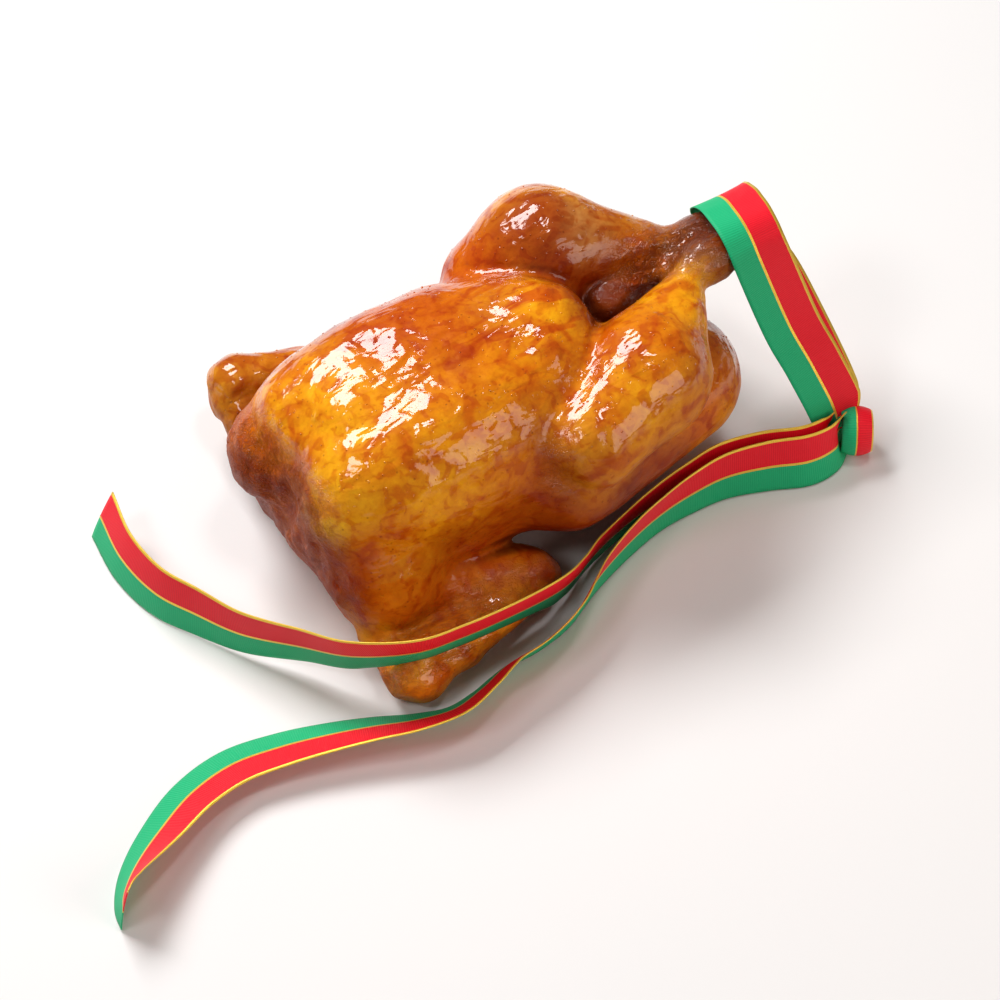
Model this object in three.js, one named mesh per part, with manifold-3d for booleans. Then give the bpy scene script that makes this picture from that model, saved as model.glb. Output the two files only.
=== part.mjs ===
// A roast chicken lying on its back, with the ends of its drumsticks crossed and a ribbon tied round them.
//
// Lengths are in millimetres. +X runs from the neck end to the drumstick ends, +Z is up from the back to
// the breast, and the ribbon's tails lie on the -Y side. The origin is on the flat spot under the back.

import * as THREE from "three";
import { mergeVertices } from "three/addons/utils/BufferGeometryUtils.js";
import Module from "manifold-3d";

const wasm = await Module();
wasm.setup();

// ---------------------------------------------------------------- driving dimensions

// Flesh is built from ellipsoids { at, half } and from rounded bones { from, to, radii }.
// A mirrored form is given for the +Y side, and its y changes sign for the other side.
const TORSO = { at: [-10, 0, 47], half: [76, 47, 50] };
const BREAST_LOBE = { at: [-8, 18, 62], half: [72, 31, 39], turn: 2 };
const SHOULDER = { at: [-50, 30, 33], half: [26, 26, 29] };
const KEEL = { from: [-40, 0, 84], to: [46, 0, 87], radii: [14, 13] };
const BREAST_TIP = { at: [36, 0, 77], half: [28, 31, 24] };
const PELVIS = { at: [56, 0, 34], half: [44, 34, 37] };
const NECK_END = -73;
const NECK_SKIN = { at: [-62, 24, 54], half: [19, 19, 21] };
const NECK_FOLD = { from: [-74, -4, 60], to: [-80, 4, 28], radii: [6, 7] };
const CAVITY = { from: [118, 4, 88], to: [82, 1, 66], radii: [19, 11] };
const TAIL = { from: [79, 8, 70], to: [98, 13, 76], radii: [11, 8.5] };

const THIGH = { from: [30, 38, 46], to: [93, 22, 44], radii: [24, 26] };
const CALF_RADII = [19, 24];
const SHIN_RADIUS = 7;
const SHIN_END = [-14, 5, -1];
const ANKLE_HALF = [14, 10, 10];
const LEGS = [
  { side: -1, knee: [38, -45, 67], calf: [70, -34, 73], ankle: [117, -6, 86] },
  { side: 1, knee: [45, 41, 71], calf: [66, 38, 81], ankle: [122, 8, 82.5] },
];

const UPPER_ARM_START = [-46, 42, 24];
const UPPER_ARM_END = [-4, -5, 2];
const UPPER_ARM_RADII = [13, 11];
const FOREARM_RADII = [11.5, 12];
const WING_TIP_END = [-62, 46, 14];
const WING_TIP_RADII = [10, 6];
const WINGS = [
  { side: -1, elbow: [5, -55, 12], wrist: [-56, -68, 12] },
  { side: 1, elbow: [24, 56, 26], wrist: [-50, 79, 28] },
];

// How widely two neighbouring forms run into each other.
const MERGE = { muscle: 10, pelvis: 12, breastTip: 8, neckEnd: 14, neckSkin: 3, neckFold: 5, cavity: 6 };
const JOIN = { calf: 6, leg: 4, legToBody: 5, tail: 3, wing: 4, wingTip: 6 };

// The skin is drawn on a grid of this spacing, inside this box, and cut off flat at z = 0.
const GRID = 5.7;
const BOX_LOW = [-95, -102, -14];
const BOX_HIGH = [146, 106, 118];
const SAME_PLACE = 1e-4;

const RIBBON_WIDTH = 25;
const RIBBON_THICKNESS = 0.8;
const FLOOR_GAP = 0.8;
const STEPS_PER_POINT = 2;

// The loop runs up from the knot, over both ankles, back under them and down again: x, y, z.
const LOOP_ROUTE = [
  [150.5, -58, 12], [150, -54.5, 22], [145.5, -42, 41], [141, -31, 57], [134, -19, 86.5],
  [133, -12.5, 95.2], [133.2, -5.5, 98.6], [134.5, 3, 97.8], [135.6, 9, 96], [136.5, 15, 92.2],
  [138.5, 19.5, 85], [140.5, 17.5, 76], [143.5, 8, 70], [147, -7, 63], [150, -25, 46],
  [151.5, -44, 29], [152.5, -56, 13],
];
const LOOP_ACROSS = new THREE.Vector3(1, 0, 0);

// The tails run on from the knot: x, y, lean of the band in degrees, and its height off the floor.
// At a lean of 90 the band stands on its edge, and at 0 or 180 it lies flat.
const WING_TAIL_ROUTE = [
  [148, -58, 100, 0], [141, -60, 104, 0], [130, -59, 108, 0], [115, -52.5, 106, 0],
  [98, -48, 100, 0], [82, -48, 92, 0], [66, -49, 84, 0], [49, -52, 78, 0], [32, -58, 77, 1.5],
  [17, -67, 76, 7], [2.5, -73.5, 74, 13.5], [-20, -76.5, 72, 18.5], [-41, -77, 72, 21.5],
  [-60, -75, 72, 23.5], [-78.5, -60, 76, 17], [-90, -40, 82, 8], [-104, -19, 92, 1.5],
  [-113.5, -0.5, 101, 0], [-122, 17, 106, 0], [-125, 39, 111, 0], [-122, 62, 116, 0],
];
const FRONT_TAIL_ROUTE = [
  [148, -58, 100, 0], [140, -64.5, 104, 0], [130, -64, 106, 0], [115, -58, 104, 0],
  [98, -53.5, 98, 0], [82, -53.5, 92, 0], [66, -55.5, 86, 0], [49, -60, 84, 0], [29, -68, 80, 0],
  [10, -79, 72, 0], [-8, -84, 65, 0], [-24, -85, 60, 0], [-38, -89, 55, 0], [-52, -91, 48, 0],
  [-67, -87, 41, 0], [-83, -80, 35, 0], [-99, -74, 30, 0], [-116, -69, 26, 0], [-135, -66, 24, 0],
  [-154, -69.5, 27, 0], [-172, -78.5, 35, 0], [-186, -87.5, 48, 0], [-196, -96.5, 65, 0],
  [-201, -104, 80, 0],
];
const KNOT = { at: [153, -59, 11.5], half: [12, 9, 10.5], segments: [14, 9] };

// ---------------------------------------------------------------- flesh as distance fields

const mirrored = (point, side) => [point[0], point[1] * side, point[2]];
const plus = (point, step) => point.map((value, axis) => value + step[axis]);

// The smaller of two distances, rounded over `width` where they meet.
function joined(a, b, width) {
  const share = THREE.MathUtils.clamp(0.5 + (0.5 * (b - a)) / width, 0, 1);
  return b * (1 - share) + a * share - width * share * (1 - share);
}

// The larger of two distances, rounded over `width`: what is left after a cut.
const cutBack = (a, b, width) => -joined(-a, -b, width);

function ellipsoid({ at, half, turn = 0 }) {
  const cosine = Math.cos(THREE.MathUtils.degToRad(turn));
  const sine = Math.sin(THREE.MathUtils.degToRad(turn));
  return (x, y, z) => {
    const dx = x - at[0];
    const dy = y - at[1];
    const along = (cosine * dx + sine * dy) / half[0];
    const side = (cosine * dy - sine * dx) / half[1];
    const up = (z - at[2]) / half[2];
    const size = Math.hypot(along, side, up);
    const slope = Math.hypot(along / half[0], side / half[1], up / half[2]);
    return (size * (size - 1)) / Math.max(slope, 1e-9);
  };
}

// A bone is the hull of two balls of different size.
function bone({ from, to, radii }) {
  const start = new THREE.Vector3(...from);
  const axis = new THREE.Vector3(...to).sub(start);
  const length = axis.length();
  axis.divideScalar(length);
  const taper = (radii[0] - radii[1]) / length;
  const wall = Math.sqrt(1 - taper * taper);
  const offset = new THREE.Vector3();
  return (x, y, z) => {
    offset.set(x, y, z).sub(start);
    const along = offset.dot(axis);
    const away = Math.sqrt(Math.max(offset.lengthSq() - along * along, 0));
    const foot = along - (away * taper) / wall;
    if (foot < 0) return offset.length() - radii[0];
    if (foot > length) return Math.hypot(away, along - length) - radii[1];
    return away * wall + along * taper - radii[0];
  };
}

const onSide = (form, side) => {
  const copy = { ...form };
  for (const key of ["at", "from", "to"]) {
    if (copy[key]) copy[key] = mirrored(copy[key], side);
  }
  if (copy.turn) copy.turn *= -side;
  return copy;
};

function torsoField() {
  const trunk = ellipsoid(TORSO);
  const lobes = [-1, 1].map((side) => ellipsoid(onSide(BREAST_LOBE, side)));
  const shoulders = [-1, 1].map((side) => ellipsoid(onSide(SHOULDER, side)));
  const keel = bone(KEEL);
  const breastTip = ellipsoid(BREAST_TIP);
  const pelvis = ellipsoid(PELVIS);
  const neckSkin = ellipsoid(NECK_SKIN);
  const neckFold = bone(NECK_FOLD);
  const cavity = bone(CAVITY);
  return (x, y, z) => {
    let flesh = trunk(x, y, z);
    for (const form of [...lobes, ...shoulders, keel]) flesh = joined(flesh, form(x, y, z), MERGE.muscle);
    flesh = joined(flesh, breastTip(x, y, z), MERGE.breastTip);
    flesh = joined(flesh, pelvis(x, y, z), MERGE.pelvis);
    flesh = cutBack(flesh, NECK_END - x, MERGE.neckEnd);
    flesh = joined(flesh, neckSkin(x, y, z), MERGE.neckSkin);
    flesh = cutBack(flesh, -neckFold(x, y, z), MERGE.neckFold);
    return cutBack(flesh, -cavity(x, y, z), MERGE.cavity);
  };
}

function legField({ side, knee, calf, ankle }) {
  const thigh = bone(onSide(THIGH, side));
  const drumstick = bone({ from: knee, to: calf, radii: CALF_RADII });
  const shinEnd = plus(ankle, mirrored(SHIN_END, side));
  const shin = bone({ from: calf, to: shinEnd, radii: [CALF_RADII[1], SHIN_RADIUS] });
  const knuckle = ellipsoid({ at: ankle, half: ANKLE_HALF });
  return (x, y, z) => {
    let lower = joined(drumstick(x, y, z), shin(x, y, z), JOIN.calf);
    lower = joined(lower, knuckle(x, y, z), JOIN.calf);
    return joined(thigh(x, y, z), lower, JOIN.leg);
  };
}

function wingField({ side, elbow, wrist }) {
  const upperArm = bone({
    from: mirrored(UPPER_ARM_START, side),
    to: plus(elbow, mirrored(UPPER_ARM_END, side)),
    radii: UPPER_ARM_RADII,
  });
  const forearm = bone({ from: elbow, to: wrist, radii: FOREARM_RADII });
  const tip = bone({ from: wrist, to: mirrored(WING_TIP_END, side), radii: WING_TIP_RADII });
  return (x, y, z) => {
    const arm = joined(upperArm(x, y, z), forearm(x, y, z), JOIN.wing);
    return joined(arm, tip(x, y, z), JOIN.wingTip);
  };
}

function birdField() {
  const torso = torsoField();
  const legs = LEGS.map(legField);
  const tail = bone(TAIL);
  const wings = WINGS.map(wingField);
  return (x, y, z) => {
    let flesh = torso(x, y, z);
    for (const leg of legs) flesh = joined(flesh, leg(x, y, z), JOIN.legToBody);
    flesh = joined(flesh, tail(x, y, z), JOIN.tail);
    for (const wing of wings) flesh = joined(flesh, wing(x, y, z), JOIN.wing);
    return flesh;
  };
}

// ---------------------------------------------------------------- from field to closed skin

// A grid cell has corner n at (n & 1, n >> 1 & 1, n >> 2). Its edges are numbered four to an axis.
const BIT = [1, 2, 4];
const EDGES_PER_AXIS = 4;
const CORNERS = [0, 1, 2, 3, 4, 5, 6, 7].map((n) => [n & 1, (n >> 1) & 1, n >> 2]);
const EDGES = [];
const FACES = [];
for (let axis = 0; axis < 3; axis++) {
  const b = BIT[(axis + 1) % 3];
  const c = BIT[(axis + 2) % 3];
  for (const start of [0, b, c, b + c]) EDGES.push([start, start + BIT[axis]]);
  for (const side of [0, BIT[axis]]) FACES.push([side, side + b, side + b + c, side + c]);
}
const edgeBetween = (p, q) => EDGES.findIndex(([a, b]) => a === Math.min(p, q) && b === Math.max(p, q));

// The patches of skin in one cell, each as the list of edges it crosses. Crossings are linked face by
// face, and on a face with four of them round each inside corner, so that neighbouring cells agree.
function patchesOf(inside) {
  const group = EDGES.map(([a, b], edge) => (inside[a] === inside[b] ? -1 : edge));
  const link = (e, f) => {
    const [keep, drop] = [group[e], group[f]];
    group.forEach((value, edge) => {
      if (value === drop) group[edge] = keep;
    });
  };
  for (const face of FACES) {
    const ring = face.map((corner, n) => edgeBetween(corner, face[(n + 1) % 4]));
    const crossed = ring.filter((edge) => group[edge] >= 0);
    if (crossed.length === 2) link(crossed[0], crossed[1]);
    if (crossed.length === 4) {
      face.forEach((corner, n) => {
        if (inside[corner]) link(ring[n], ring[(n + 3) % 4]);
      });
    }
  }
  const names = [...new Set(group.filter((value) => value >= 0))];
  return names.map((name) => EDGES.map((_, edge) => edge).filter((edge) => group[edge] === name));
}

// The closed skin where a field is zero: one vertex for every patch of it in a cell, at the mean of the
// patch's edge crossings, and a four-sided face round every grid edge that the skin crosses.
function skinOf(field, low, high, step) {
  const count = low.map((start, axis) => Math.ceil((high[axis] - start) / step) + 1);
  const at = (i, j, k) => (i * count[1] + j) * count[2] + k;
  const values = new Float64Array(count[0] * count[1] * count[2]);
  const cells = [];
  for (let i = 0; i < count[0]; i++) {
    for (let j = 0; j < count[1]; j++) {
      for (let k = 0; k < count[2]; k++) {
        values[at(i, j, k)] = field(low[0] + i * step, low[1] + j * step, low[2] + k * step);
        cells.push([i, j, k]);
      }
    }
  }

  const vertexOf = new Map();
  const positions = [];
  for (const cell of cells) {
    if (cell.some((place, axis) => place === count[axis] - 1)) continue;
    const corner = CORNERS.map((c) => values[at(cell[0] + c[0], cell[1] + c[1], cell[2] + c[2])]);
    for (const patch of patchesOf(corner.map((value) => value < 0))) {
      const mean = [0, 0, 0];
      for (const edge of patch) {
        const [a, b] = EDGES[edge];
        const share = corner[a] / (corner[a] - corner[b]);
        for (let axis = 0; axis < 3; axis++) {
          mean[axis] += (CORNERS[a][axis] + share * (CORNERS[b][axis] - CORNERS[a][axis])) / patch.length;
        }
        vertexOf.set(EDGES.length * at(...cell) + edge, positions.length / 3);
      }
      positions.push(...cell.map((place, axis) => low[axis] + step * (place + mean[axis])));
    }
  }

  const triangles = [];
  for (const cell of cells) {
    if (cell.some((place, axis) => place === 0 || place === count[axis] - 1)) continue;
    const here = values[at(...cell)] < 0;
    for (let axis = 0; axis < 3; axis++) {
      const next = cell.map((place, n) => place + (n === axis ? 1 : 0));
      if (here === values[at(...next)] < 0) continue;
      const ring = [[0, 0], [1, 0], [1, 1], [0, 1]].map(([m, n]) => {
        const around = [...cell];
        around[(axis + 1) % 3] -= m;
        around[(axis + 2) % 3] -= n;
        return vertexOf.get(EDGES.length * at(...around) + EDGES_PER_AXIS * axis + m + 2 * n);
      });
      if (!here) ring.reverse();
      triangles.push(ring[0], ring[1], ring[2], ring[0], ring[2], ring[3]);
    }
  }
  const geometry = new THREE.BufferGeometry();
  geometry.setAttribute("position", new THREE.Float32BufferAttribute(positions, 3));
  geometry.setIndex(triangles);
  return geometry;
}

// ---------------------------------------------------------------- solids

function solidOf(geometry) {
  const bare = geometry.clone();
  for (const name of ["normal", "uv"]) bare.deleteAttribute(name);
  const merged = mergeVertices(bare, SAME_PLACE);
  return new wasm.Manifold(new wasm.Mesh({
    numProp: 3,
    vertProperties: new Float32Array(merged.getAttribute("position").array),
    triVerts: new Uint32Array(merged.getIndex().array),
  }));
}

function geometryOf(solid) {
  const mesh = solid.getMesh();
  const geometry = new THREE.BufferGeometry();
  geometry.setAttribute("position", new THREE.BufferAttribute(mesh.vertProperties, 3));
  geometry.setIndex(new THREE.BufferAttribute(mesh.triVerts, 1));
  geometry.computeVertexNormals();
  return geometry;
}

// The bird's skin, cut off flat where it rests.
function chickenSolid() {
  const size = BOX_HIGH.map((value, axis) => value - BOX_LOW[axis]);
  const floor = new THREE.BoxGeometry(2 * size[0], 2 * size[1], size[2]);
  floor.translate(0, 0, -size[2] / 2);
  return solidOf(skinOf(birdField(), BOX_LOW, BOX_HIGH, GRID)).subtract(solidOf(floor));
}

// ---------------------------------------------------------------- ribbon

// A closed band of rectangular section through stations { centre, across }.
function bandSolid(stations) {
  const positions = [];
  const triangles = [];
  stations.forEach(({ centre, across }, index) => {
    const before = stations[Math.max(index - 1, 0)].centre;
    const after = stations[Math.min(index + 1, stations.length - 1)].centre;
    const along = after.clone().sub(before).normalize();
    const side = across.clone().addScaledVector(along, -across.dot(along)).normalize();
    const face = along.clone().cross(side);
    for (const [m, n] of [[-1, -1], [1, -1], [1, 1], [-1, 1]]) {
      const corner = centre.clone();
      corner.addScaledVector(side, (m * RIBBON_WIDTH) / 2);
      corner.addScaledVector(face, (n * RIBBON_THICKNESS) / 2);
      positions.push(...corner.toArray());
    }
    if (index === 0) return;
    for (let edge = 0; edge < 4; edge++) {
      const next = (edge + 1) % 4;
      const [a, b] = [4 * (index - 1) + edge, 4 * (index - 1) + next];
      triangles.push(a, b, b + 4, a, b + 4, a + 4);
    }
  });
  const last = 4 * (stations.length - 1);
  triangles.push(0, 2, 1, 0, 3, 2, last, last + 1, last + 2, last, last + 2, last + 3);
  const geometry = new THREE.BufferGeometry();
  geometry.setAttribute("position", new THREE.Float32BufferAttribute(positions, 3));
  geometry.setIndex(triangles);
  return solidOf(geometry);
}

// Points of one smooth curve through a list of [x, y, z].
function smoothPoints(points) {
  const curve = new THREE.CatmullRomCurve3(points.map((p) => new THREE.Vector3(...p)), false, "catmullrom");
  return curve.getPoints((points.length - 1) * STEPS_PER_POINT);
}

function loopSolid() {
  return bandSolid(smoothPoints(LOOP_ROUTE).map((centre) => ({ centre, across: LOOP_ACROSS })));
}

// A tail stands on the floor on one edge, or as much higher as its route says.
function tailSolid(route) {
  const places = smoothPoints(route.map(([x, y]) => [x, y, 0]));
  const settings = smoothPoints(route.map(([, , lean, lift]) => [lean, lift, 0]));
  const centres = places.map((place, index) => {
    const lean = THREE.MathUtils.degToRad(settings[index].x);
    const rise = (Math.abs(Math.sin(lean)) * RIBBON_WIDTH) / 2;
    return new THREE.Vector3(place.x, place.y, FLOOR_GAP + rise + Math.max(settings[index].y, 0));
  });
  return bandSolid(centres.map((centre, index) => {
    const lean = THREE.MathUtils.degToRad(settings[index].x);
    const ahead = centres[Math.min(index + 1, centres.length - 1)];
    const behind = centres[Math.max(index - 1, 0)];
    const outward = new THREE.Vector3(behind.y - ahead.y, ahead.x - behind.x, 0).normalize();
    const across = outward.multiplyScalar(Math.cos(lean));
    across.z = Math.sin(lean);
    return { centre, across };
  }));
}

function knotSolid() {
  const knot = new THREE.SphereGeometry(1, ...KNOT.segments);
  knot.scale(...KNOT.half);
  knot.translate(...KNOT.at);
  return solidOf(knot);
}

function ribbonSolid() {
  return knotSolid()
    .add(loopSolid())
    .add(tailSolid(WING_TAIL_ROUTE))
    .add(tailSolid(FRONT_TAIL_ROUTE));
}

// ---------------------------------------------------------------- the object

const glazedSkin = new THREE.MeshStandardMaterial({ color: 0xb8651b, roughness: 0.25, metalness: 0 });
const wovenBand = new THREE.MeshStandardMaterial({ color: 0xc8182a, roughness: 0.6, metalness: 0 });

const roastChicken = new THREE.Group();
for (const [name, solid, material] of [
  ["chicken", chickenSolid(), glazedSkin],
  ["ribbon", ribbonSolid(), wovenBand],
]) {
  const mesh = new THREE.Mesh(geometryOf(solid), material);
  mesh.name = name;
  roastChicken.add(mesh);
}

export default roastChicken;
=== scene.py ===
"""A glazed roast chicken on its back, with a woven ribbon tied round the ends of its drumsticks.

Forms are worked out in millimetres, with +X from the neck end to the drumstick ends and +Z up, and are
turned into metres when their meshes are made.
"""

import math

import bpy
import numpy as np
from mathutils import Matrix, Vector


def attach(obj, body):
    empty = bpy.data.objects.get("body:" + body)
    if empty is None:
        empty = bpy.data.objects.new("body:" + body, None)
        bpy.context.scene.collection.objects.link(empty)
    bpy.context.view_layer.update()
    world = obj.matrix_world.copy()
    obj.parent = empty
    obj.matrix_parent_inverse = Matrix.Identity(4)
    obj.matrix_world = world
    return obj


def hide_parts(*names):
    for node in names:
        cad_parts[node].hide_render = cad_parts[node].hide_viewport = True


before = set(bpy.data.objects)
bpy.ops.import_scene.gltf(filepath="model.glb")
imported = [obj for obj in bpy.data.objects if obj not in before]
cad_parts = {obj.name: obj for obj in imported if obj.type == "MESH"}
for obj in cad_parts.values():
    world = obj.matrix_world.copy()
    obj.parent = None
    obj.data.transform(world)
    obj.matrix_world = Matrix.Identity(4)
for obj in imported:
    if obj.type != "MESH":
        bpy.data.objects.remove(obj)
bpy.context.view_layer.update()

MM = 0.001

# ---------------------------------------------------------------- dimensions of the bird, millimetres

TORSO = {"at": (-10, 0, 47), "half": (76, 47, 50)}
BREAST_LOBE = {"at": (-8, 18, 62), "half": (72, 31, 39), "turn": 2}
SHOULDER = {"at": (-50, 30, 33), "half": (26, 26, 29)}
KEEL = {"start": (-40, 0, 84), "end": (46, 0, 87), "radii": (14, 13)}
BREAST_TIP = {"at": (36, 0, 77), "half": (28, 31, 24)}
PELVIS = {"at": (56, 0, 34), "half": (44, 34, 37)}
NECK_END = -73
NECK_SKIN = {"at": (-62, 24, 54), "half": (19, 19, 21)}
NECK_FOLD = {"start": (-74, -4, 60), "end": (-80, 4, 28), "radii": (6, 7)}
CAVITY = {"start": (118, 4, 88), "end": (82, 1, 66), "radii": (19, 11)}
TAIL = {"start": (79, 8, 70), "end": (98, 13, 76), "radii": (11, 8.5)}
ANKLE_WEB = {"at": (108, 3, 79), "half": (10, 15, 6)}
TAIL_ROOT = {"start": (84, 6, 56), "end": (103, 8, 65), "radii": (12, 8)}

THIGH = {"start": (30, 38, 46), "end": (93, 22, 44), "radii": (24, 26)}
CALF_RADII = (19, 24)
SHIN_RADIUS = 7
SHIN_END = (-14, 5, -1)
ANKLE_HALF = (14, 10, 10)
LEGS = (
    {"side": -1, "knee": (38, -45, 67), "calf": (70, -34, 73), "ankle": (117, -6, 86)},
    {"side": 1, "knee": (45, 41, 71), "calf": (66, 38, 81), "ankle": (122, 8, 82.5)},
)

UPPER_ARM_START = (-46, 42, 24)
UPPER_ARM_END = (-4, -5, 2)
UPPER_ARM_RADII = (13, 11)
FOREARM_RADII = (11.5, 12)
WING_TIP_END = (-62, 46, 14)
WING_TIP_RADII = (10, 6)
WINGS = (
    {"side": -1, "elbow": (5, -55, 12), "wrist": (-56, -68, 12)},
    {"side": 1, "elbow": (24, 56, 26), "wrist": (-50, 79, 28)},
)

# How wide the rounding is where two forms meet, inside the body and between it and the limbs.
MERGE = {
    "muscle": 10, "pelvis": 12, "tip": 8, "neck_end": 14, "neck_skin": 2.5, "neck_fold": 4, "cavity": 5,
}
JOIN = {
    "calf": 6, "leg": 3, "leg_to_body": 3, "leg_fade": 9, "web": 4, "tail": 2, "wing": 4.5, "wing_tip": 6,
}

GRID = 1.26
BOX_LOW = (-88, -84, -3)
BOX_HIGH = (141, 96, 112)

# ---------------------------------------------------------------- dimensions of the ribbon, millimetres

RIBBON_WIDTH = 25
RIBBON_THICKNESS = 0.5
FLOOR_GAP = 0.8
STEPS_PER_POINT = 12
COLUMNS = 16

LOOP_ROUTE = (
    (150.5, -58, 12), (150, -54.5, 22), (145.5, -42, 41), (141, -31, 57), (134, -19, 86.5),
    (133, -12.5, 95.2), (133.2, -5.5, 98.6), (134.5, 3, 97.8), (135.6, 9, 96), (136.5, 15, 92.2),
    (138.5, 19.5, 85), (140.5, 17.5, 76), (143.5, 8, 70), (147, -7, 63), (150, -25, 46),
    (151.5, -44, 29), (152.5, -56, 13),
)

# A tail's route: x, y, lean of the band in degrees, and its height off the floor.
WING_TAIL_ROUTE = (
    (148, -58, 100, 0), (141, -60, 104, 0), (130, -59, 108, 0), (115, -52.5, 106, 0),
    (98, -48, 100, 0), (82, -48, 92, 0), (66, -49, 84, 0), (49, -52, 78, 0), (32, -58, 77, 1.5),
    (17, -67, 76, 7), (2.5, -73.5, 74, 13.5), (-20, -76.5, 72, 18.5), (-41, -77, 72, 21.5),
    (-60, -75, 72, 23.5), (-78.5, -60, 76, 17), (-90, -40, 82, 8), (-104, -19, 92, 1.5),
    (-113.5, -0.5, 101, 0), (-122, 17, 106, 0), (-125, 39, 111, 0), (-122, 62, 116, 0),
)
FRONT_TAIL_ROUTE = (
    (152, -60, 97, 0), (142, -64.5, 102, 0), (130, -64, 106, 0), (115, -58, 104, 0),
    (98, -53.5, 98, 0), (82, -53.5, 92, 0), (66, -55.5, 86, 0), (49, -60, 84, 0), (29, -68, 80, 0),
    (10, -79, 72, 0), (-8, -84, 65, 0), (-24, -85, 60, 0), (-38, -89, 55, 0), (-52, -91, 48, 0),
    (-67, -87, 41, 0), (-83, -80, 35, 0), (-99, -74, 30, 0), (-116, -69, 26, 0),
    (-135, -66, 24, 0), (-154, -69.5, 27, 0), (-172, -78.5, 35, 0), (-186, -87.5, 48, 0),
    (-196, -96.5, 65, 0), (-201, -104, 80, 0),
)
KNOT_AT = (153, -59, 11.5)
KNOT_TURNS = 2.2
KNOT_OUTER, KNOT_INNER = 8.0, 3.0
KNOT_ASIDE = 3.2

# How far the band's middle bows out, first along its length and then, added to that, at the knot.
LOOP_CUP, LOOP_PINCH = 0.2, 1.6
TAIL_CUP, TAIL_PINCH = 0.5, 3.6
KNOT_CUP = 1.7

# The band's width at its narrowest, as a share of the flat one.
LOOP_NARROW, TAIL_NARROW, KNOT_NARROW = 0.5, 0.9, 0.5

# Where the gold stitches run, from -1 at one edge to 1 at the other.
STITCH_LINES = (-0.078, 0.955)

# ---------------------------------------------------------------- small helpers


def smooth_step(low, high, values):
    share = np.clip((np.asarray(values, float) - low) / (high - low), 0, 1)
    return share * share * (3 - 2 * share)


def plus(point, step):
    return tuple(a + b for a, b in zip(point, step))


def on_side(point, side):
    return (point[0], point[1] * side, point[2])


def wobble(places, spacing, seed):
    """Smooth random values from -1 to 1 at places, changing over about `spacing` (one number or three)."""
    random = np.random.default_rng(seed)
    table = random.uniform(-1, 1, (32, 32, 32))
    if np.ndim(spacing) == 0:
        places = places @ np.linalg.qr(random.normal(size=(3, 3)))[0]
    scaled = np.asarray(places, float) / np.asarray(spacing, float)
    base = np.floor(scaled).astype(int)
    part = scaled - base
    part = part * part * (3 - 2 * part)
    total = np.zeros(len(scaled))
    for corner in np.ndindex(2, 2, 2):
        share = np.prod(np.where(corner, part, 1 - part), axis=1)
        index = (base + corner) % 32
        total += share * table[index[:, 0], index[:, 1], index[:, 2]]
    return total


def ridges(places, spacing, seed):
    """Thin raised lines between smooth hollows, from 0 to 1."""
    return (1 - np.abs(wobble(places, spacing, seed))) ** 4


def near(places, centre, reach):
    """1 at a centre, falling smoothly to almost nothing at `reach` (one number or three)."""
    away = (places - np.array(centre, float)) / np.asarray(reach, float)
    return np.exp(-2.5 * (away**2).sum(-1))


# ---------------------------------------------------------------- the bird as a distance field


def joined(a, b, width):
    share = np.clip(0.5 + 0.5 * (b - a) / width, 0, 1)
    return b * (1 - share) + a * share - width * share * (1 - share)


def cut_back(a, b, width):
    return -joined(-a, -b, width)


def ellipsoid(places, at, half, turn=0.0):
    cosine, sine = math.cos(math.radians(turn)), math.sin(math.radians(turn))
    dx, dy, dz = (places[..., axis] - at[axis] for axis in range(3))
    along = (cosine * dx + sine * dy) / half[0]
    side = (cosine * dy - sine * dx) / half[1]
    up = dz / half[2]
    size = np.sqrt(along**2 + side**2 + up**2)
    slope = np.sqrt((along / half[0]) ** 2 + (side / half[1]) ** 2 + (up / half[2]) ** 2)
    return size * (size - 1) / np.maximum(slope, 1e-6)


def bone(places, start, end, radii):
    """The hull of two balls of different size."""
    axis = np.subtract(end, start).astype(float)
    length = np.linalg.norm(axis)
    axis /= length
    taper = (radii[0] - radii[1]) / length
    wall = math.sqrt(1 - taper * taper)
    offset = places - np.array(start, float)
    along = offset @ axis
    square = (offset**2).sum(-1)
    away = np.sqrt(np.maximum(square - along**2, 0))
    foot = along - away * taper / wall
    middle = away * wall + along * taper - radii[0]
    head = np.sqrt(square) - radii[0]
    end_ball = np.hypot(away, along - length) - radii[1]
    return np.where(foot < 0, head, np.where(foot > length, end_ball, middle))


def torso_field(places):
    flesh = ellipsoid(places, **TORSO)
    for side in (-1, 1):
        lobe_turn = -side * BREAST_LOBE["turn"]
        lobe = ellipsoid(places, on_side(BREAST_LOBE["at"], side), BREAST_LOBE["half"], lobe_turn)
        shoulder = ellipsoid(places, on_side(SHOULDER["at"], side), SHOULDER["half"])
        flesh = joined(joined(flesh, lobe, MERGE["muscle"]), shoulder, MERGE["muscle"])
    flesh = joined(flesh, bone(places, **KEEL), MERGE["muscle"])
    flesh = joined(flesh, ellipsoid(places, **BREAST_TIP), MERGE["tip"])
    flesh = joined(flesh, ellipsoid(places, **PELVIS), MERGE["pelvis"])
    flesh = cut_back(flesh, NECK_END - places[..., 0], MERGE["neck_end"])
    flesh = joined(flesh, ellipsoid(places, **NECK_SKIN), MERGE["neck_skin"])
    flesh = cut_back(flesh, -bone(places, **NECK_FOLD), MERGE["neck_fold"])
    return cut_back(flesh, -bone(places, **CAVITY), MERGE["cavity"])


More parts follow.
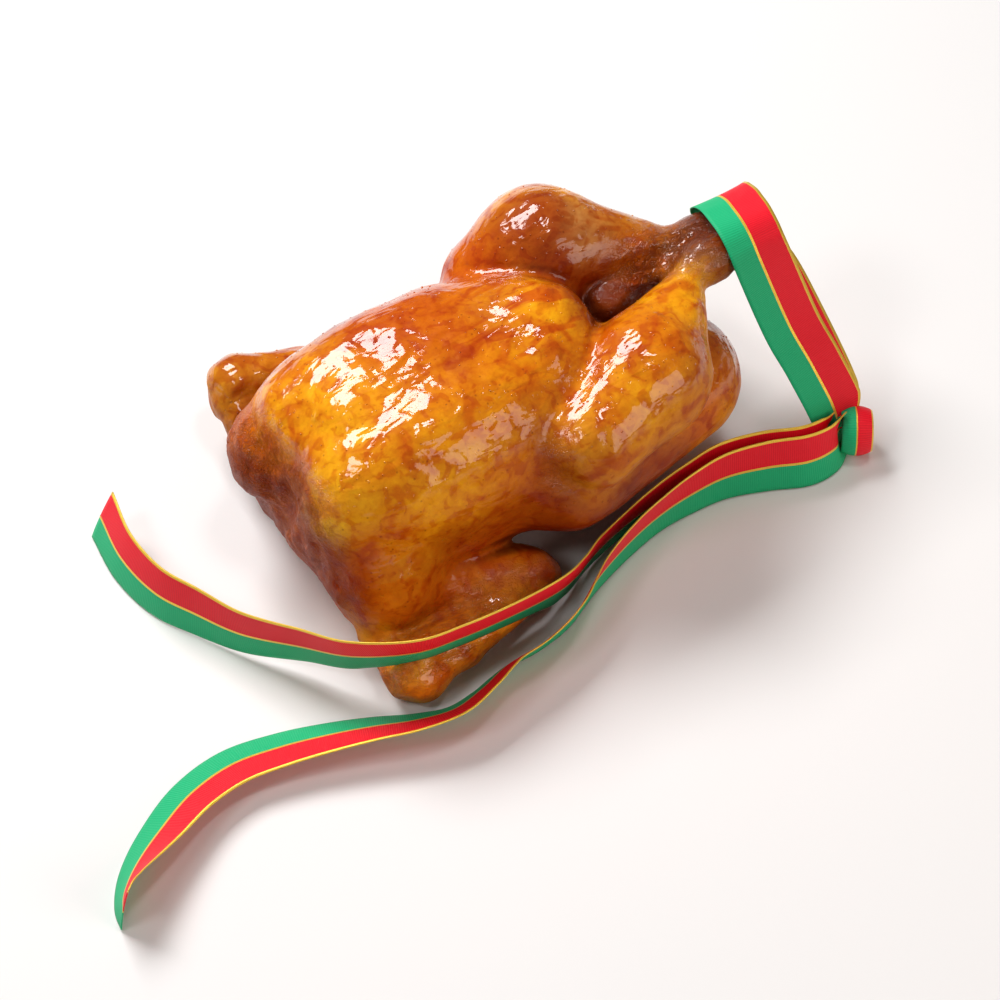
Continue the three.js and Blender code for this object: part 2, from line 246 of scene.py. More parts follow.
def leg_field(places, side, knee, calf, ankle):
    thigh = bone(places, on_side(THIGH["start"], side), on_side(THIGH["end"], side), THIGH["radii"])
    shin_end = plus(ankle, on_side(SHIN_END, side))
    lower = joined(
        bone(places, knee, calf, CALF_RADII),
        bone(places, calf, shin_end, (CALF_RADII[1], SHIN_RADIUS)),
        JOIN["calf"],
    )
    lower = joined(lower, ellipsoid(places, ankle, ANKLE_HALF), JOIN["calf"])
    return joined(thigh, lower, JOIN["leg"])


def wing_field(places, side, elbow, wrist):
    arm_end = plus(elbow, on_side(UPPER_ARM_END, side))
    arm = bone(places, on_side(UPPER_ARM_START, side), arm_end, UPPER_ARM_RADII)
    arm = joined(arm, bone(places, elbow, wrist, FOREARM_RADII), JOIN["wing"])
    tip = bone(places, wrist, on_side(WING_TIP_END, side), WING_TIP_RADII)
    return joined(arm, tip, JOIN["wing_tip"])


def bird_field(places):
    flesh = torso_field(places)
    shallow = JOIN["leg_to_body"] + JOIN["leg_fade"] * smooth_step(96, 70, places[..., 2])
    for leg in LEGS:
        flesh = joined(flesh, leg_field(places, **leg), shallow)
    flesh = joined(flesh, bone(places, **TAIL_ROOT), JOIN["tail"])
    flesh = joined(flesh, bone(places, **TAIL), JOIN["tail"])
    flesh = joined(flesh, ellipsoid(places, **ANKLE_WEB), JOIN["web"])
    for wing in WINGS:
        flesh = joined(flesh, wing_field(places, **wing), JOIN["wing"])
    return np.maximum(flesh, -places[..., 2])


def skin_of(field, low, high, step):
    """Points and four-sided faces of the surface where the field is zero, one point to a crossed cell."""
    low, high = np.array(low, float), np.array(high, float)
    count = np.ceil((high - low) / step).astype(int) + 1
    axes = [low[i] + step * np.arange(count[i]) for i in range(3)]
    values = np.empty(count)
    for i in range(count[0]):
        layer = np.stack(np.meshgrid(axes[0][i : i + 1], axes[1], axes[2], indexing="ij"), -1)
        values[i] = field(layer)[0]
    inside = values < 0
    cells = tuple(count - 1)
    total, crossings = np.zeros((*cells, 3)), np.zeros(cells)
    corners = [(n & 1, n >> 1 & 1, n >> 2) for n in range(8)]
    pairs = [(a, b) for a in range(8) for b in range(a + 1, 8) if bin(a ^ b).count("1") == 1]

    def shifted(array, corner):
        return array[tuple(slice(c, c + cells[i]) for i, c in enumerate(corner))]

    for a, b in pairs:
        va, vb = shifted(values, corners[a]), shifted(values, corners[b])
        crossed = (va < 0) != (vb < 0)
        share = np.where(crossed, va / np.where(crossed, va - vb, 1), 0)
        for k in range(3):
            total[..., k] += np.where(crossed, corners[a][k] + share * (corners[b][k] - corners[a][k]), 0)
        crossings += crossed
    active = crossings > 0
    index = -np.ones(cells, int)
    index[active] = np.arange(active.sum())
    points = low + step * (np.argwhere(active) + total[active] / crossings[active][:, None])

    faces = []
    for k in range(3):
        u, v = (k + 1) % 3, (k + 2) % 3
        here = [slice(1, count[i] - 1) for i in range(3)]
        here[k] = slice(0, count[k] - 1)
        ahead = list(here)
        ahead[k] = slice(1, count[k])
        a, b = inside[tuple(here)], inside[tuple(ahead)]
        base = np.argwhere(a != b) + np.array([part.start for part in here])

        def cell(du, dv):
            place = base.copy()
            place[:, u] -= du
            place[:, v] -= dv
            return index[place[:, 0], place[:, 1], place[:, 2]]

        ring = np.stack([cell(0, 0), cell(1, 0), cell(1, 1), cell(0, 1)], 1)
        faces.append(np.where(a[a != b][:, None], ring, ring[:, ::-1]))
    return points, np.concatenate(faces)


def slope_of(field, points, step=0.4):
    """Unit directions out of the surface."""
    out = np.zeros_like(points)
    for axis in range(3):
        shift = np.zeros(3)
        shift[axis] = step
        out[:, axis] = field(points + shift) - field(points - shift)
    return out / np.maximum(np.linalg.norm(out, axis=1, keepdims=True), 1e-6)


def near_wing(places):
    """1 on the wing on the -Y side, 0 elsewhere."""
    x, y, z = places.T
    return smooth_step(-48, -58, y) * smooth_step(34, 26, z) * smooth_step(24, 16, x)


def skin_relief(places):
    """How far the skin stands out from the smooth flesh: lumps, puckers and folds."""
    x, y, z = places.T
    ankles = near(places, (112, 1, 86), (24, 26, 20))
    tail = near(places, (91, 11, 75), (20, 17, 17))
    neck = smooth_step(-58, -74, x)
    wings = near_wing(places) + smooth_step(52, 62, y) * smooth_step(46, 30, z) * smooth_step(36, 26, x)
    shins = near(places, (97, -17, 82), (20, 16, 14)) + near(places, (100, 20, 82), (20, 14, 14))
    relief = 0.9 * wobble(places, 22, 11) + 0.38 * wobble(places, 9, 12) + 0.15 * wobble(places, 4.4, 13)
    relief += ankles * (0.9 * ridges(places, 5.5, 14) + 0.5 * wobble(places, 2.8, 15) - 0.3)
    relief += tail * (4.4 * ridges(places, (9, 5, 5), 16) + 1.1 * wobble(places, 3.6, 17) - 1.0)
    relief += neck * (1.0 * wobble(places, (9, 6, 10), 18) + 0.5 * ridges(places, 6, 19) - 0.2)
    relief += wings * (1.5 * wobble(places, (11, 7, 7), 20) + 0.4 * wobble(places, 5, 21))
    relief += shins * 0.45 * wobble(places, (16, 2.6, 2.6), 22)
    return relief * smooth_step(0, 7, z)


def bird_shape():
    points, faces = skin_of(bird_field, BOX_LOW, BOX_HIGH, GRID)
    out = slope_of(bird_field, points)
    points = points - out * bird_field(points)[:, None]
    points[:, 2] = np.maximum(points[:, 2], 0)
    closeness = np.clip(1 - bird_field(points + out * 7) / 7, 0, 1)
    closeness = np.where(out[:, 2] < -0.9, 0, closeness)
    points = points + out * skin_relief(points)[:, None]
    points[:, 2] = np.maximum(points[:, 2], 0)
    return points, faces, out, closeness


# ---------------------------------------------------------------- the skin's colours over the bird

# Each tone as it looks in daylight: red, green and blue, up to 255.
TONES = {
    "gold": (250, 178, 30),
    "honey": (240, 152, 10),
    "marmalade": (252, 150, 30),
    "amber": (214, 112, 2),
    "copper": (202, 88, 0),
    "tan": (206, 122, 20),
    "beige": (190, 128, 66),
    "rust": (160, 62, 4),
    "brown": (122, 42, 6),
    "umber": (98, 34, 12),
    "plum": (96, 26, 24),
}
# Where the tones sit on the bird: a tone, a place and a reach, from the breast to the legs and the wings.
PATCHES = (
    ("honey", (-50, -6, 90), 22), ("gold", (-60, -24, 70), 13), ("rust", (-72, -4, 68), 12),
    ("rust", (-73, 8, 56), 12), ("honey", (-56, 14, 86), 20), ("amber", (-10, -8, 98), 24),
    ("honey", (-12, -34, 84), 17), ("copper", (-8, 20, 96), 24), ("copper", (8, 0, 99), 20),
    ("rust", (0, -10, 98), 8), ("rust", (22, 6, 100), 9), ("honey", (28, -4, 98), 22),
    ("amber", (34, -24, 86), 18), ("copper", (20, 22, 94), 18), ("brown", (58, 0, 80), 14),
    ("honey", (-30, -42, 64), 20), ("amber", (-6, -44, 66), 14), ("rust", (16, -48, 46), 20),
    ("rust", (20, -49, 70), 9), ("brown", (24, -49, 60), 7), ("rust", (-64, -40, 44), 9),
    ("rust", (-24, -50, 56), 9), ("rust", (-30, -50, 40), 20), ("rust", (-6, -48, 50), 12),
    ("copper", (-52, -42, 52), 14), ("copper", (-60, -34, 46), 12), ("copper", (-10, -48, 40), 14),
    ("rust", (-68, -26, 42), 20), ("rust", (-66, -20, 54), 13), ("copper", (-78, -6, 38), 16),
    ("copper", (-74, 20, 68), 15), ("rust", (-80, 18, 58), 10), ("rust", (-74, 4, 66), 9),
    ("plum", (-72, 0, 72), 6), ("rust", (-72, 30, 46), 12), ("copper", (-60, -31, 12), 12),
    ("honey", (-50, -44, 24), 14), ("gold", (-44, -47, 44), 11), ("brown", (-54, -36, 32), 8),
    ("copper", (-34, -54, 28), 13), ("tan", (36, -53, 72), 18), ("amber", (62, -38, 92), 16),
    ("honey", (50, -48, 84), 14), ("tan", (80, -48, 72), 18), ("copper", (92, -50, 56), 12),
    ("brown", (50, -58, 28), 20), ("rust", (66, -58, 48), 12), ("tan", (100, -34, 44), 16),
    ("rust", (108, -24, 56), 14), ("honey", (98, -19, 86), 14), ("brown", (114, 0, 88), 16),
    ("rust", (54, 36, 105), 16), ("copper", (38, 44, 90), 13), ("honey", (58, 52, 98), 11),
    ("honey", (80, 42, 98), 9), ("rust", (60, 22, 92), 13), ("rust", (84, 20, 82), 12),
    ("tan", (88, 34, 92), 14), ("tan", (102, 18, 88), 12), ("beige", (78, 25, 98), 11),
    ("rust", (68, 28, 101), 12), ("tan", (72, 48, 98), 10), ("rust", (90, 10, 78), 14),
    ("brown", (80, 9, 78), 9), ("umber", (104, 11, 85), 5), ("copper", (96, 12, 84), 8),
    ("tan", (88, 10, 84), 5), ("copper", (60, 62, 66), 20), ("copper", (34, 58, 74), 16),
    ("rust", (60, 60, 34), 24), ("marmalade", (-22, -66, 24), 24), ("copper", (8, -60, 20), 11),
    ("marmalade", (-52, -68, 22), 16), ("tan", (-50, 80, 34), 18), ("amber", (-20, 72, 36), 20),
    ("rust", (16, 62, 32), 18), ("brown", (-40, 44, 20), 24), ("rust", (-30, 46, 60), 24),
    # The last three patches make the skin darker towards the floor.
    ("rust", (0, 0, 4), 60), ("rust", (110, 0, 30), 22), ("brown", (-30, -50, 6), 14),
)

# How far the patches' outlines stray, how soon a patch fades, and how little of it is left far away.
PATCH_WANDER, PATCH_WANDER_SPACING = 5, 17
PATCH_FALL, PATCH_FLOOR = 1.2, 1e-3

# The glaze sets where the skin faces upward, by the height of its outward direction, and clear of the
# floor. A little of it lies everywhere.
GLAZE_FACING = (0.36, 0.52)
GLAZE_HEIGHTS = (14, 44)
LEAST_GLAZE = 0.12


def linear(colour):
    share = np.array(colour, float) / 255
    return np.where(share <= 0.04045, share / 12.92, ((share + 0.055) / 1.055) ** 2.4)


def crease_shade_of(points, closeness):
    """How deep in a fold each point lies, 0 to 1, to paint shade into the folds; the tail lies in the open
    all the same.
    """
    open_parts = 0.75 * near(points, TAIL["end"], (22, 18, 18)) + 0.7 * near_wing(points)
    return smooth_step(0.35, 0.95, closeness) * (1 - open_parts)


def skin_tones(points, closeness):
    """The glaze's colour at each point, before its fine mottling, with painted shade in the folds."""
    shifts = [wobble(points, PATCH_WANDER_SPACING, seed) for seed in (31, 32, 33)]
    warped = points + PATCH_WANDER * np.stack(shifts, 1)
    total, weight = np.zeros((len(points), 3)), np.full(len(points), 1e-6)
    for name, at, reach in PATCHES:
        away = np.linalg.norm(warped - np.array(at, float), axis=1) / reach
        share = np.exp(-PATCH_FALL * away**2) + PATCH_FLOOR / (1 + away**4)
        total += share[:, None] * linear(TONES[name])
        weight += share
    colour = total / weight[:, None]
    # Painted shade: the deeper in a fold, the darker the colour, towards umber.
    crease = crease_shade_of(points, closeness)[:, None]
    return colour * (1 - crease) + (0.35 * colour + 0.35 * linear(TONES["umber"])) * crease


# ---------------------------------------------------------------- meshes


def mesh_object(name, points, faces):
    mesh = bpy.data.meshes.new(name)
    mesh.from_pydata((np.asarray(points) * MM).tolist(), [], [list(map(int, face)) for face in faces])
    mesh.polygons.foreach_set("use_smooth", [True] * len(mesh.polygons))
    mesh.update()
    piece = bpy.data.objects.new(name, mesh)
    bpy.context.scene.collection.objects.link(piece)
    return piece


def store(piece, name, kind, values):
    """Keeps one value for each point of a piece: kind is FLOAT, FLOAT_VECTOR or FLOAT_COLOR."""
    attribute = piece.data.attributes.new(name, kind, "POINT")
    field = {"FLOAT": "value", "FLOAT_VECTOR": "vector", "FLOAT_COLOR": "color"}[kind]
    attribute.data.foreach_set(field, np.asarray(values, np.float32).ravel())


# ---------------------------------------------------------------- the ribbon


def smooth_route(points, steps):
    """Points of a uniform Catmull-Rom curve through rows of numbers."""
    rows = np.array(points, float)
    ends = np.vstack([2 * rows[0] - rows[1], rows, 2 * rows[-1] - rows[-2]])
    made = []
    for n in range(len(rows) - 1):
        a, b, c, d = ends[n : n + 4]
        square = 2 * a - 5 * b + 4 * c - d
        cube = 3 * b - a - 3 * c + d
        for t in np.arange(steps) / steps:
            made.append(0.5 * (2 * b + (c - a) * t + square * t**2 + cube * t**3))
    made.append(rows[-1])
    return np.array(made)


def directions(centres):
    along = np.gradient(centres, axis=0)
    return along / np.linalg.norm(along, axis=1, keepdims=True)


def squared_to(along, across):
    side = across - along * (along * across).sum(1, keepdims=True)
    return side / np.linalg.norm(side, axis=1, keepdims=True)


def tail_stations(route):
    rows = smooth_route(route, STEPS_PER_POINT)
    lean = np.radians(rows[:, 2])
    rise = np.abs(np.sin(lean)) * RIBBON_WIDTH / 2
    centres = np.column_stack([rows[:, :2], FLOOR_GAP + rise + np.maximum(rows[:, 3], 0)])
    travel = np.gradient(centres[:, :2], axis=0)
    outward = np.column_stack([-travel[:, 1], travel[:, 0]])
    outward /= np.linalg.norm(outward, axis=1, keepdims=True)
    across = np.column_stack([outward * np.cos(lean)[:, None], np.sin(lean)])
    return centres, squared_to(directions(centres), across)


def loop_stations():
    centres = smooth_route(LOOP_ROUTE, STEPS_PER_POINT)
    return centres, squared_to(directions(centres), np.tile([1.0, 0, 0], (len(centres), 1)))


def lengths_along(centres):
    return np.concatenate([[0], np.cumsum(np.linalg.norm(np.diff(centres, axis=0), axis=1))])


def band(centres, across, narrow, cup):
    """A closed band: its points, its faces and its weave places, which run from 0 to 1 across it and in
    millimetres along it. At each station `narrow` is its width as a share of the flat one, and `cup` is
    how far its middle bows out."""
    along = directions(centres)
    face = np.cross(along, across)
    share = np.linspace(-1, 1, COLUMNS + 1)
    bow = cup[:, None] * (1 - share**2)
    middle = (
        centres[:, None]
        + across[:, None] * (share[None, :, None] * narrow[:, None, None] * RIBBON_WIDTH / 2)
        + face[:, None] * bow[..., None]
    )
    upper = middle + face[:, None] * RIBBON_THICKNESS / 2
    lower = middle - face[:, None] * RIBBON_THICKNESS / 2
    ring = np.concatenate([upper, lower[:, ::-1]], axis=1)
    weave_across = np.concatenate([(share + 1) / 2, (share[::-1] + 1) / 2])
    rows, around = ring.shape[:2]
    weave = np.stack(
        [np.tile(weave_across, (rows, 1)), np.tile(lengths_along(centres)[:, None], (1, around))], -1
    )
    faces = []
    for n in range(rows - 1):
        for m in range(around):
            a, b = n * around + m, n * around + (m + 1) % around
            faces.append((a, b, b + around, a + around))
    faces.append(tuple(range(around))[::-1])
    faces.append(tuple((rows - 1) * around + m for m in range(around)))
    return ring.reshape(-1, 3), faces, weave.reshape(-1, 2)


def knot_stations():
    """The rolled turns of ribbon that hold the loop and the tails together, with their axis level."""
    axis = np.array([0.848, -0.53, 0.0])
    side = np.array([0.53, 0.848, 0.0])
    upright = np.array([0, 0, 1.05])
    turned = np.linspace(0, KNOT_TURNS, 97)[:, None]
    radius = KNOT_OUTER - (KNOT_OUTER - KNOT_INNER) * smooth_step(0.9, KNOT_TURNS, turned)
    angle = 2 * math.pi * turned
    middle = np.array(KNOT_AT) + axis * KNOT_ASIDE
    centres = middle + radius * (np.cos(angle) * side + np.sin(angle) * upright)
    return centres, np.tile(axis, (len(centres), 1))


# ---------------------------------------------------------------- materials


class Socket:
    """One value in a material's node tree, so that its maths can be written as ordinary expressions."""

    def __init__(self, tree, output):
        self.tree = tree
        self.output = output

    def node(self, kind, settings=None, inputs=None, output=0):
        made = self.tree.nodes.new(kind)
        for name, value in (settings or {}).items():
            setattr(made, name, value)
        for name, value in (inputs or {}).items():
            if isinstance(value, Socket):
                self.tree.links.new(value.output, made.inputs[name])
            else:
                made.inputs[name].default_value = value
        return Socket(self.tree, made.outputs[output])

    def maths(self, operation, *values, clamp=False):
        settings = {"operation": operation, "use_clamp": clamp}
        return self.node("ShaderNodeMath", settings, dict(enumerate(values)))

    def __add__(self, other):
        return self.maths("ADD", self, other)

    __radd__ = __add__

    def __mul__(self, other):
        return self.maths("MULTIPLY", self, other)

    __rmul__ = __mul__

    def __sub__(self, other):
        return self.maths("SUBTRACT", self, other)

    def __rsub__(self, other):
        return self.maths("SUBTRACT", other, self)

    def clamped(self):
        return self.maths("ADD", self, 0.0, clamp=True)

    def between(self, low, high):
        """0 below low, 1 above high, smooth between them. With low above high it falls."""
        settings = {"interpolation_type": "SMOOTHSTEP", "clamp": True}
        if low <= high:
            inputs = {"Value": self, "From Min": low, "From Max": high}
            return self.node("ShaderNodeMapRange", settings, inputs)
        return 1.0 - self.between(high, low)

    def towards(self, other, share):
        """This colour mixed with another by share."""
        return self.mix("MIX", {"Factor": share, "A": self, "B": other})

    def times(self, other):
        """This colour multiplied by another."""
        return self.mix("MULTIPLY", {"Factor": 1.0, "A": self, "B": other})

    def mix(self, blend, inputs):
        made = self.tree.nodes.new("ShaderNodeMix")
        made.data_type = "RGBA"
        made.blend_type = blend
        made.clamp_factor = True
        sockets = {"Factor": made.inputs[0], "A": made.inputs[6], "B": made.inputs[7]}
        for name, value in inputs.items():
            if isinstance(value, Socket):
                self.tree.links.new(value.output, sockets[name])
            elif name == "Factor":
                sockets[name].default_value = value
            else:
                sockets[name].default_value = (*value, 1)
        return Socket(self.tree, made.outputs[2])

    def scaled(self, sizes):
        """This vector stretched by three numbers."""
        return self.node("ShaderNodeVectorMath", {"operation": "MULTIPLY"}, {0: self, 1: sizes})

    def moved(self, other):
        return self.node("ShaderNodeVectorMath", {"operation": "ADD"}, {0: self, 1: other})

    def noise(self, scale, detail=2.0, roughness=0.5, distortion=0.0, output="Fac"):
        inputs = {"Vector": self, "Scale": scale, "Detail": detail}
        inputs.update({"Roughness": roughness, "Distortion": distortion})
        return self.node("ShaderNodeTexNoise", {"noise_dimensions": "3D"}, inputs, output)

    def cells(self, scale):
        """How far each place is from the middle of its cell, in cells."""
        inputs = {"Vector": self, "Scale": scale}
        return self.node("ShaderNodeTexVoronoi", {"feature": "F1"}, inputs, "Distance")

    def bump(self, height, strength, distance):
        """This normal tilted by a height; self is a normal or the tree's start."""
        inputs = {"Height": height, "Strength": strength, "Distance": distance}
        if self.output is not None:
            inputs["Normal"] = self
        return self.node("ShaderNodeBump", {}, inputs)


def new_material(name, preview):
    """(material, start of its tree, its shader)"""
    material = bpy.data.materials.new(name)
    material.use_nodes = True
    material.diffuse_color = (*preview, 1)
    tree = material.node_tree
    shader = tree.nodes["Principled BSDF"]
    return material, Socket(tree, None), shader


def feed(shader, start, **values):
    """Sets a shader's sockets, by links where the value is a Socket. Underscores stand for spaces."""
    for name, value in values.items():
        socket = shader.inputs[name.replace("_", " ")]
        if isinstance(value, Socket):
            start.tree.links.new(value.output, socket)
        else:
            socket.default_value = value


def glazed_skin():
    material, start, shader = new_material("glazed_skin", linear(TONES["amber"]))
    place = start.node("ShaderNodeTexCoord", output="Object")
    tone = start.node("ShaderNodeAttribute", {"attribute_name": "tone"}, output="Color")
    crease = start.node("ShaderNodeAttribute", {"attribute_name": "crease"}, output="Fac")
    streaky = start.node("ShaderNodeAttribute", {"attribute_name": "streaky"}, output="Fac")
    wrinkled = start.node("ShaderNodeAttribute", {"attribute_name": "wrinkled"}, output="Fac")
    glaze = start.node("ShaderNodeAttribute", {"attribute_name": "glaze"}, output="Fac")

    blotches = place.noise(72, 2, 0.5, 0.9)
    mottle = place.noise(170, 2, 0.5, 0.7)
    grain = place.noise(520, 2, 0.5)
    bend = place.noise(50, 1, 0.5, output="Color").scaled((0.012, 0.012, 0.012))
    streaks = place.moved(bend).scaled((24, 170, 120)).noise(1.0, 2, 0.5, 0.4)
    light_streaks = streaks.between(0.52, 0.66)
    dark_streaks = streaks.between(0.50, 0.40)

    patchy = 1.0 - wrinkled * 0.7
    colour = tone.towards(tone.times((1.13, 1.32, 1.5)), blotches.between(0.48, 0.66) * 0.85)
    colour = colour.towards(colour.times((0.82, 0.52, 0.25)), blotches.between(0.49, 0.34) * patchy * 0.9)
    colour = colour.towards(colour.times((0.80, 0.54, 0.28)), mottle.between(0.48, 0.36) * patchy * 0.8)
    colour = colour.towards(colour.times((1.10, 1.26, 1.3)), mottle.between(0.52, 0.66) * 0.6)
    colour = colour.towards(colour.times((0.88, 0.78, 0.65)), grain.between(0.50, 0.36) * 0.5)
    colour = colour.towards(colour.times((0.76, 0.34, 0.14)), dark_streaks * streaky)
    colour = colour.towards(colour.times((1.10, 1.25, 1.1)), light_streaks * streaky * 0.7)
    specks = place.cells(330).between(0.22, 0.05) * place.noise(140, 1).between(0.50, 0.60)
    colour = colour.towards(colour.times((0.42, 0.28, 0.26)), specks * 0.6)

    soft = place.noise(95, 1, 0.4, 0.6)
    lumps = place.scaled((85, 220, 220)).noise(1.0, 1, 0.4, 0.8)
    ragged = place.noise(560, 2, 0.5, 0.6)
    pits = place.cells(420).between(0.26, 0.0) * place.noise(120, 1).between(0.50, 0.62)
    creases = place.scaled((200, 380, 380)).noise(1.0, 3, 0.6, 1.4)
    net = start.maths("ABSOLUTE", creases - 0.5).between(0.10, 0.0)
    height = soft * 0.54 + lumps * 0.21 + ragged * 0.028 - pits * 0.09 - wrinkled * net * 0.32
    normal = start.bump(height, 1.0, 0.0022)
    colour = colour.towards(colour.times((0.62, 0.42, 0.34)), wrinkled * net * 0.7)

    rough = 0.30 + mottle * 0.16 + crease * 0.12 + wrinkled * 0.05
    feed(
        shader, start,
        Base_Color=colour, Roughness=rough, Normal=normal,
        Specular_IOR_Level=0.06, Coat_Weight=glaze, Coat_Roughness=0.028, Coat_IOR=1.53,
    )
    start.tree.links.new(normal.output, shader.inputs["Coat Normal"])
    return material


# The pitch of the cross ribs in millimetres, and the number of gold threads there would be in the width.
RIB_PITCH = 0.86
GOLD_THREADS = 75

# Shares of the width: where green gives way to red, the gold line along that seam and the gold edge.
RED_FROM = (0.462, 0.466)
SEAM_FROM, SEAM_TO = (0.438, 0.442), (0.480, 0.484)
EDGE_FROM = (0.950, 0.954)

GREEN, RED = linear((22, 188, 124)), linear((250, 14, 40))
GOLD, GOLD_SHADE = linear((255, 220, 84)), linear((196, 120, 10))


def woven_ribbon():
    material, start, shader = new_material("woven_ribbon", RED)
    weave = start.node("ShaderNodeUVMap", {"uv_map": "weave"})
    across = weave.node("ShaderNodeSeparateXYZ", {}, {0: weave}, "X")
    along = weave.node("ShaderNodeSeparateXYZ", {}, {0: weave}, "Y")
    place = start.node("ShaderNodeTexCoord", output="Object")

    ribs = start.maths("SINE", along * (2 * math.pi / (RIB_PITCH * MM))) * 0.5 + 0.5
    thread = start.maths("SINE", across * (2 * math.pi * GOLD_THREADS)) * 0.5 + 0.5
    slub = place.noise(1400, 2, 0.5)
    red_share = across.between(*RED_FROM)
    seam_share = across.between(*SEAM_FROM) - across.between(*SEAM_TO)
    gold_share = (seam_share + across.between(*EDGE_FROM)).clamped()
    # Darker between the cross ribs, which is painted shade, and uneven with the slub of the threads.
    shade = (0.68 + ribs * 0.32 + (slub - 0.5) * 0.25).clamped()
    cloth = start.mix("MIX", {"Factor": red_share, "A": GREEN, "B": RED})
    cloth = cloth.towards(cloth.times((0.62, 0.62, 0.62)), 1.0 - shade)
    gold = start.mix("MIX", {"Factor": thread * 0.45, "A": GOLD, "B": GOLD_SHADE})
    colour = cloth.towards(gold, gold_share)
    normal = start.bump(ribs * 0.7 + thread * 0.15 + slub * 0.2, 0.45, 0.00022)
    feed(
        shader, start,
        Base_Color=colour, Roughness=(0.5 - gold_share * 0.22 + (1.0 - ribs) * 0.1), Normal=normal,
        Metallic=gold_share * 0.45, Specular_IOR_Level=0.3,
    )
    return material


def gold_thread():
    material, start, shader = new_material("gold_thread", GOLD)
    place = start.node("ShaderNodeTexCoord", output="Object")
    glint = place.noise(1500, 2, 0.5)
    # Its colour turns to a paler gold in random specks: painted glints.
    dull, bright = linear((232, 160, 24)), linear((255, 236, 140))
    colour = start.mix("MIX", {"Factor": glint.between(0.35, 0.65), "A": dull, "B": bright})
    feed(shader, start, Base_Color=colour, Roughness=0.20 + glint * 0.15, Metallic=0.6)
    return material


def plain_floor():
    material, start, shader = new_material("plain_floor", (0.9, 0.9, 0.9))
    place = start.node("ShaderNodeTexCoord", output="Object")
    grain = place.noise(3, 2, 0.5)
    colour = start.mix("MIX", {"Factor": grain, "A": (0.86, 0.845, 0.835), "B": (0.88, 0.868, 0.86)})
    feed(shader, start, Base_Color=colour, Roughness=0.6, Specular_IOR_Level=0.2)
    return material


# ---------------------------------------------------------------- repeated pieces by Geometry Nodes


def node_tree(name, inputs):
    """A Geometry Nodes tree with a geometry in and out and other named inputs {name: socket type}."""
    tree = bpy.data.node_groups.new(name, "GeometryNodeTree")
    tree.interface.new_socket("Geometry", in_out="INPUT", socket_type="NodeSocketGeometry")
    for label, kind in inputs.items():
        tree.interface.new_socket(label, in_out="INPUT", socket_type=kind)
    tree.interface.new_socket("Geometry", in_out="OUTPUT", socket_type="NodeSocketGeometry")
    return tree


def add_node(tree, kind, settings=None, inputs=None):
    made = tree.nodes.new(kind)
    for name, value in (settings or {}).items():
        setattr(made, name, value)
    for name, value in (inputs or {}).items():
        if isinstance(value, bpy.types.NodeSocket):
            tree.links.new(value, made.inputs[name])
        else:
            made.inputs[name].default_value = value
    return made


def grown(base, name, tree, settings):
    """The mesh that a tree makes from a base object, as a new object."""
    modifier = base.modifiers.new(name, "NODES")
    modifier.node_group = tree
    for item in tree.interface.items_tree:
        if item.in_out == "INPUT" and item.name in settings:
            modifier[item.identifier] = settings[item.name]
    base.update_tag()
    bpy.context.view_layer.update()
    evaluated = base.evaluated_get(bpy.context.evaluated_depsgraph_get())
    mesh = bpy.data.meshes.new_from_object(evaluated)
    mesh.name = name
    base.modifiers.remove(modifier)
    piece = bpy.data.objects.new(name, mesh)
    bpy.context.scene.collection.objects.link(piece)
    return piece


# A bead's width as a share of the stated radius, and its height as a share of its width.
SMALLEST_BEAD, LARGEST_BEAD = 0.45, 1.3
BEAD_FLATNESS = 0.5


def placed_and_painted(tree, points, shape, rotation, size, material):
    """Ends a tree with a shape set at every point as real, smooth, painted mesh."""
    placed = add_node(
        tree, "GeometryNodeInstanceOnPoints",
        inputs={"Points": points, "Instance": shape, "Rotation": rotation, "Scale": size},
    )
    real = add_node(tree, "GeometryNodeRealizeInstances", inputs={"Geometry": placed.outputs[0]})
    smooth = add_node(tree, "GeometryNodeSetShadeSmooth", inputs={"Geometry": real.outputs[0]})
    painted = add_node(
        tree, "GeometryNodeSetMaterial", inputs={"Geometry": smooth.outputs[0], "Material": material}
    )
    add_node(tree, "NodeGroupOutput", inputs={"Geometry": painted.outputs[0]})


def vector_maths(tree, operation, inputs):
    return add_node(tree, "ShaderNodeVectorMath", {"operation": operation}, inputs).outputs[0]


def stitch_tree():
    """Short slanted gold stitches set out along guide lines."""
    sizes = {name: "NodeSocketFloat" for name in ("Spacing", "Length", "Radius", "Slant")}
    tree = node_tree("stitches", {**sizes, "Material": "NodeSocketMaterial"})
    given = add_node(tree, "NodeGroupInput").outputs
    lines = add_node(tree, "GeometryNodeMeshToCurve", inputs={"Mesh": given["Geometry"]})
    spaced = add_node(
        tree, "GeometryNodeResampleCurve", {"mode": "LENGTH"},
        {"Curve": lines.outputs[0], "Length": given["Spacing"]},
    )
    along = add_node(tree, "GeometryNodeInputTangent").outputs[0]
    across = add_node(
        tree, "GeometryNodeInputNamedAttribute", {"data_type": "FLOAT_VECTOR"}, {"Name": "across"}
    ).outputs[0]
    slanted = vector_maths(tree, "SCALE", {0: across, "Scale": given["Slant"]})
    heading = vector_maths(tree, "ADD", {0: along, 1: slanted})
    face = vector_maths(tree, "CROSS_PRODUCT", {0: along, 1: across})
    headed = add_node(tree, "FunctionNodeAlignRotationToVector", {"axis": "X"}, {"Vector": heading})
    flat = add_node(
        tree, "FunctionNodeAlignRotationToVector", {"axis": "Z", "pivot_axis": "X"},
        {"Rotation": headed.outputs[0], "Vector": face},
    )
    ball = add_node(tree, "GeometryNodeMeshIcoSphere", inputs={"Radius": 1.0, "Subdivisions": 1})
    extents = {"X": given["Length"], "Y": given["Radius"], "Z": given["Radius"]}
    size = add_node(tree, "ShaderNodeCombineXYZ", inputs=extents)
    placed_and_painted(
        tree, spaced.outputs[0], ball.outputs[0], flat.outputs[0], size.outputs[0], given["Material"]
    )
    return tree


